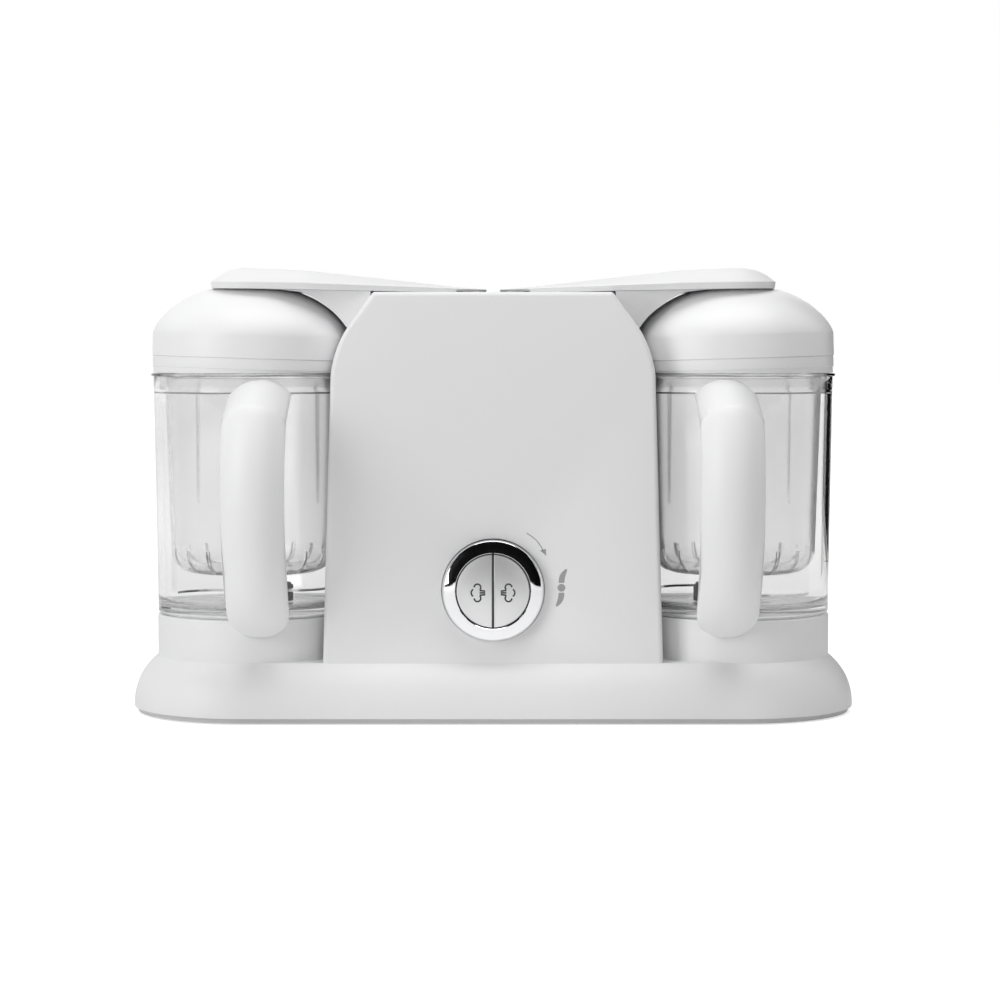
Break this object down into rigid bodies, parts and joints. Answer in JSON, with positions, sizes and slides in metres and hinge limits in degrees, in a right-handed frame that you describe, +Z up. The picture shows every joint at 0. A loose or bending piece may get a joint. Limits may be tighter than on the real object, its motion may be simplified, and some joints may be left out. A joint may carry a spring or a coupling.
{
  "type": "baby food maker",
  "caption": "Countertop steam cooker and blender: clear bowls with domed lids stand either side of an arched column with a knob, each under a hinged locking lever.",
  "frame": {"origin": "middle of the footprint, on the surface that the appliance stands on", "axes": "+Z up, -Y towards the user, +X to the user's right"},
  "size_m": [0.395, 0.222, 0.2431],
  "materials": {
    "white_shell": "satin moulded white plastic",
    "white_gloss": "glossy moulded white plastic",
    "pale_band": "pale grey moulded plastic",
    "clear_bowl": "clear copolyester, polished",
    "clear_basket": "frosted clear plastic",
    "steel": "brushed stainless steel",
    "chrome": "polished chrome plate",
    "silver": "satin silver paint",
    "dark_plastic": "dark grey glass-filled plastic",
    "rubber": "soft black rubber",
    "seal": "translucent silicone",
    "copper": "varnished copper winding and steel laminations",
    "bronze": "sintered bronze",
    "board": "green board laminate"
  },
  "bodies": {
    "root": {"base_shell": "white_shell", "base_plate": "pale_band", "feet": "rubber", "base_screws": "steel", "seat_left": "white_shell", "seat_right": "white_shell", "column_cover": "white_shell", "column_body": "white_shell", "rear_panel": "white_shell", "panel_screws": "steel", "hinge_block": "pale_band", "hinge_pin_left": "steel", "hinge_pin_right": "steel", "motor_left": "steel", "motor_right": "steel", "motor_screws": "steel", "shaft_bushes": "bronze", "boiler_left": "steel", "boiler_right": "steel", "heater_left": "steel", "heater_right": "steel", "filler_neck_left": "pale_band", "filler_neck_right": "pale_band", "steam_tube_left": "seal", "steam_tube_right": "seal", "knob_carrier": "dark_plastic", "knob_spring": "steel", "control_board": "board", "switches": "dark_plastic", "cord_inlet": "dark_plastic"},
    "lever_left": {"lever_left": "white_shell", "arm_left": "white_shell", "lid_left": "white_gloss", "lid_liner_left": "pale_band", "lid_seal_left": "seal", "tank_plug_left": "rubber"},
    "bowl_left": {"bowl_left": "clear_bowl", "handle_left": "white_shell", "basket_left": "clear_basket"},
    "drive_left": {"rotor_left": "copper", "coupling_left": "dark_plastic", "hub_left": "dark_plastic", "blade_left": "steel"},
    "button_left": {"button_left": "silver"},
    "lever_right": {"lever_right": "white_shell", "arm_right": "white_shell", "lid_right": "white_gloss", "lid_liner_right": "pale_band", "lid_seal_right": "seal", "tank_plug_right": "rubber"},
    "bowl_right": {"bowl_right": "clear_bowl", "handle_right": "white_shell", "basket_right": "clear_basket"},
    "drive_right": {"rotor_right": "copper", "coupling_right": "dark_plastic", "hub_right": "dark_plastic", "blade_right": "steel"},
    "button_right": {"button_right": "silver"},
    "knob": {"knob_ring": "chrome"}
  },
  "joints": [
    {"name": "lever_left_hinge", "type": "hinge", "parent": "root", "child": "lever_left", "pos_m": [-0.012, -0.008, 0.224], "axis": [0, 1, 0], "range_deg": [0, 80]},
    {"name": "bowl_left_twist", "type": "hinge", "parent": "root", "child": "bowl_left", "pos_m": [-0.1323, -0.008, 0.054], "axis": [0, 0, -1], "range_deg": [0, 30]},
    {"name": "blade_left_spin", "type": "hinge", "parent": "root", "child": "drive_left", "pos_m": [-0.1323, -0.008, 0.03], "axis": [0, 0, 1], "continuous": true},
    {"name": "button_left_press", "type": "slide", "parent": "root", "child": "button_left", "axis": [0, 1, 0], "range_m": [0, 0.002], "stiffness_N_per_m": 500},
    {"name": "lever_right_hinge", "type": "hinge", "parent": "root", "child": "lever_right", "pos_m": [0.012, -0.008, 0.224], "axis": [0, -1, 0], "range_deg": [0, 80]},
    {"name": "bowl_right_twist", "type": "hinge", "parent": "root", "child": "bowl_right", "pos_m": [0.1323, -0.008, 0.054], "axis": [0, 0, 1], "range_deg": [0, 30]},
    {"name": "blade_right_spin", "type": "hinge", "parent": "root", "child": "drive_right", "pos_m": [0.1323, -0.008, 0.03], "axis": [0, 0, 1], "continuous": true},
    {"name": "button_right_press", "type": "slide", "parent": "root", "child": "button_right", "axis": [0, 1, 0], "range_m": [0, 0.002], "stiffness_N_per_m": 500},
    {"name": "knob_turn", "type": "hinge", "parent": "root", "child": "knob", "pos_m": [0, -0.06, 0.0705], "axis": [0, 1, 0], "range_deg": [0, 40], "stiffness_Nm_per_rad": 0.05}
  ]
}
